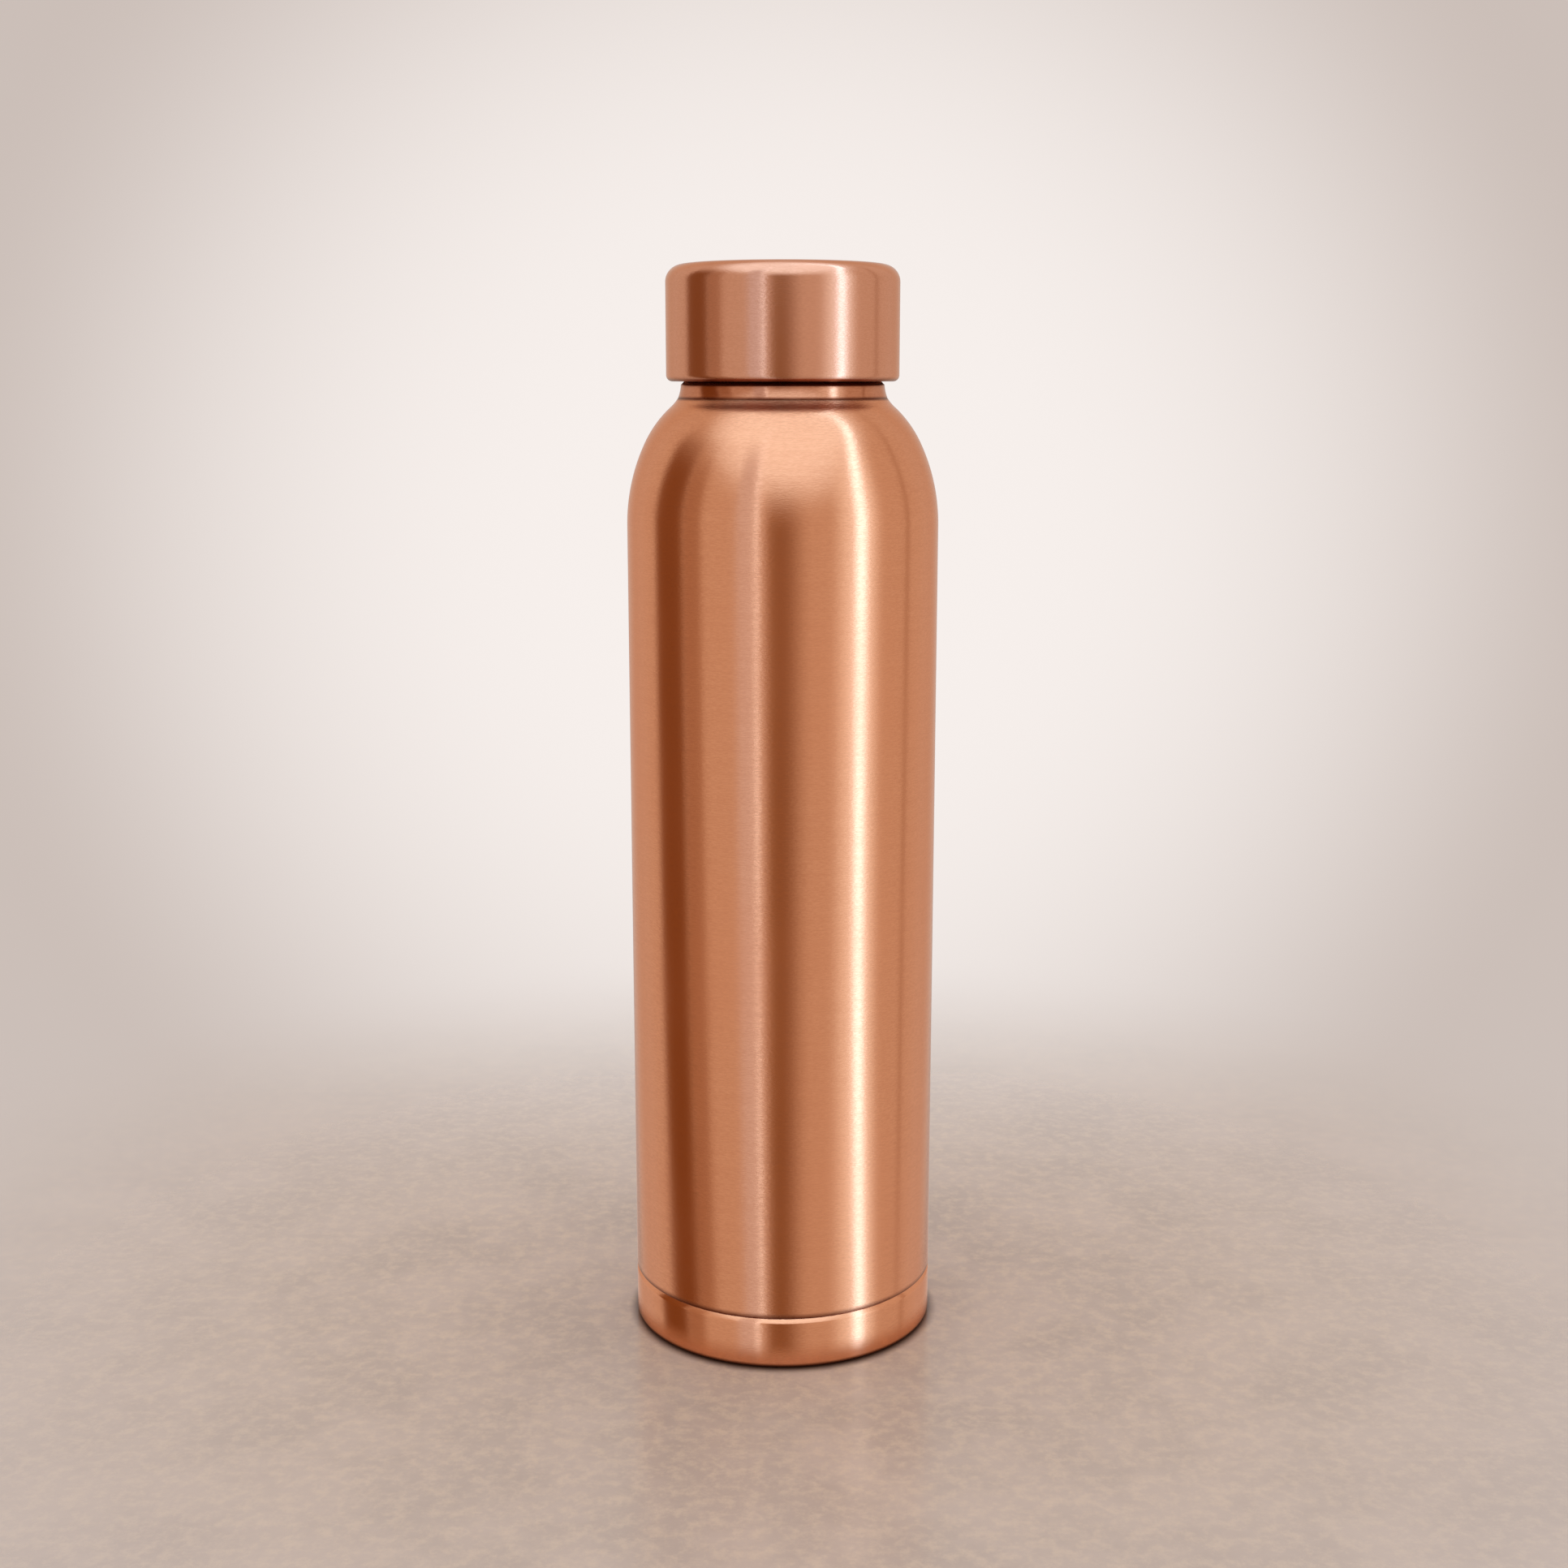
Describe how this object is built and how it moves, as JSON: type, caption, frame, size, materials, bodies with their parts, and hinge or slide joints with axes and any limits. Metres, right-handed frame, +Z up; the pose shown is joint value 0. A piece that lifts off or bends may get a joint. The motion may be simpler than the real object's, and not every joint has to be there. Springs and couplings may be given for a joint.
{
  "type": "copper water bottle",
  "caption": "Straight-sided copper water bottle with a rounded shoulder, threaded neck, joined base cup and plain screw cap.",
  "frame": {"origin": "centre of the circle that the bottle stands on", "axes": "+Z up along the bottle's axis, from the standing ring to the cap; +X and +Y are alike, because the bottle is round"},
  "size_m": [0.075, 0.075, 0.2622],
  "materials": {
    "brushed_copper": "fine brushing round the axis, satin, lacquered",
    "turned_copper": "turned, satin, unpolished",
    "solder": "as-flowed, semi-matte",
    "silicone": "matte, food grade"
  },
  "bodies": {
    "bottle": {"body_shell": "brushed_copper", "base_cup": "brushed_copper", "base_solder_ring": "solder", "neck_collar": "brushed_copper", "neck_solder_ring": "solder"},
    "seal": {"cap_sealing_ring": "silicone"},
    "cap": {"cap_shell": "brushed_copper", "cap_thread_sleeve": "turned_copper", "cap_solder_ring": "solder"}
  },
  "joints": [
    {"name": "cap_lift", "type": "slide", "parent": "bottle", "child": "seal", "axis": [0, 0, 1], "range_m": [0, 0.025]},
    {"name": "cap_turn", "type": "hinge", "parent": "seal", "child": "cap", "pos_m": [0, 0, 0.235], "axis": [0, 0, 1], "range_deg": [0, 2250]}
  ],
  "couplings": [
    {"joint": "cap_lift", "follows": "cap_turn", "m_per_rad": 0.00063662}
  ]
}
